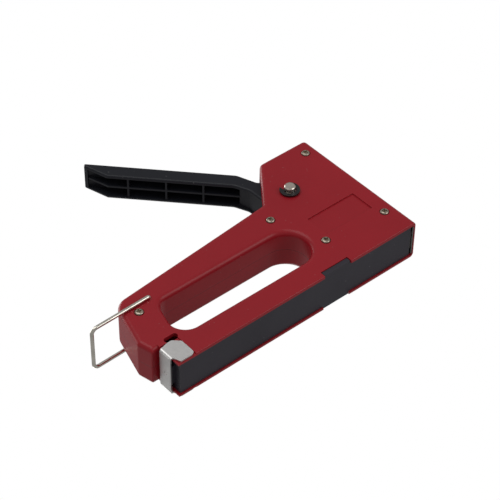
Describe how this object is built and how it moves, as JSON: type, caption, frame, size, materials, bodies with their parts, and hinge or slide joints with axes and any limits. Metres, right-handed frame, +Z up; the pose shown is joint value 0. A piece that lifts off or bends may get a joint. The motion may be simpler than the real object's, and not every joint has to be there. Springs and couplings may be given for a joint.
{
  "type": "staple gun",
  "caption": "Hand staple gun with moulded two-part case, raised squeeze handle, spring hammer, bottom staple magazine, pull-out pusher latch and wire handle lock.",
  "frame": {"origin": "middle of the nose's lower front edge, on the plane of the base", "axes": "+X out of the nose, +Z up away from the work, +Y to the tool's left"},
  "size_m": [0.1774, 0.0301, 0.1509],
  "materials": {
    "red_plastic": "satin moulded, very fine grain",
    "black_handle": "satin moulded",
    "black_magazine": "satin moulded",
    "nickel_screw": "nickel plated",
    "pin_steel": "turned steel",
    "black_clip": "blacked spring steel",
    "zinc_steel": "zinc plated",
    "hammer_steel": "hardened steel",
    "spring_steel": "drawn wire",
    "bumper_rubber": "moulded rubber",
    "staple_wire": "galvanised wire",
    "latch_sheet": "pressed nickel-plated sheet",
    "lock_wire": "bright drawn wire"
  },
  "bodies": {
    "case": {"right_shell": "red_plastic", "left_shell": "red_plastic", "case_screws": "nickel_screw", "handle_pin": "pin_steel", "e_clip": "black_clip", "power_spring": "spring_steel", "spring_seat": "zinc_steel", "bumper": "bumper_rubber", "nose_plate": "zinc_steel", "magazine": "black_magazine", "staple_rail": "zinc_steel", "staple_strip": "staple_wire"},
    "handle": {"lever_handle": "black_handle", "lifter": "zinc_steel", "lifter_cross_pin": "zinc_steel", "pin_bush": "zinc_steel"},
    "hammer": {"hammer": "hammer_steel", "driver_blade": "hammer_steel"},
    "latch": {"rear_latch": "latch_sheet", "latch_block": "black_magazine", "pusher_rod": "zinc_steel", "pusher_spring": "spring_steel"},
    "pusher": {"pusher": "black_magazine"},
    "lock": {"lock_wire": "lock_wire"}
  },
  "joints": [
    {"name": "handle_squeeze", "type": "hinge", "parent": "case", "child": "handle", "pos_m": [-0.0343, 0, 0.06], "axis": [0, -1, 0], "range_deg": [0, 51], "stiffness_Nm_per_rad": 2.5, "springref_deg": -5.73},
    {"name": "hammer_lift", "type": "slide", "parent": "case", "child": "hammer", "axis": [0, 0, 1], "range_m": [0, 0.01408], "deforming": ["power_spring"]},
    {"name": "latch_pull", "type": "slide", "parent": "case", "child": "latch", "axis": [-1, 0, 0], "range_m": [0, 0.11]},
    {"name": "pusher_feed", "type": "slide", "parent": "latch", "child": "pusher", "axis": [-1, 0, 0], "range_m": [0, 0.055], "stiffness_N_per_m": 20, "springref_m": -0.02, "deforming": ["pusher_spring"]},
    {"name": "lock_swing", "type": "hinge", "parent": "case", "child": "lock", "pos_m": [-0.1404, 0, 0.044], "axis": [0, 1, 0], "range_deg": [0, 135.5]}
  ],
  "couplings": [
    {"joint": "hammer_lift", "follows": "handle_squeeze", "m_per_rad": 0.015477}
  ]
}
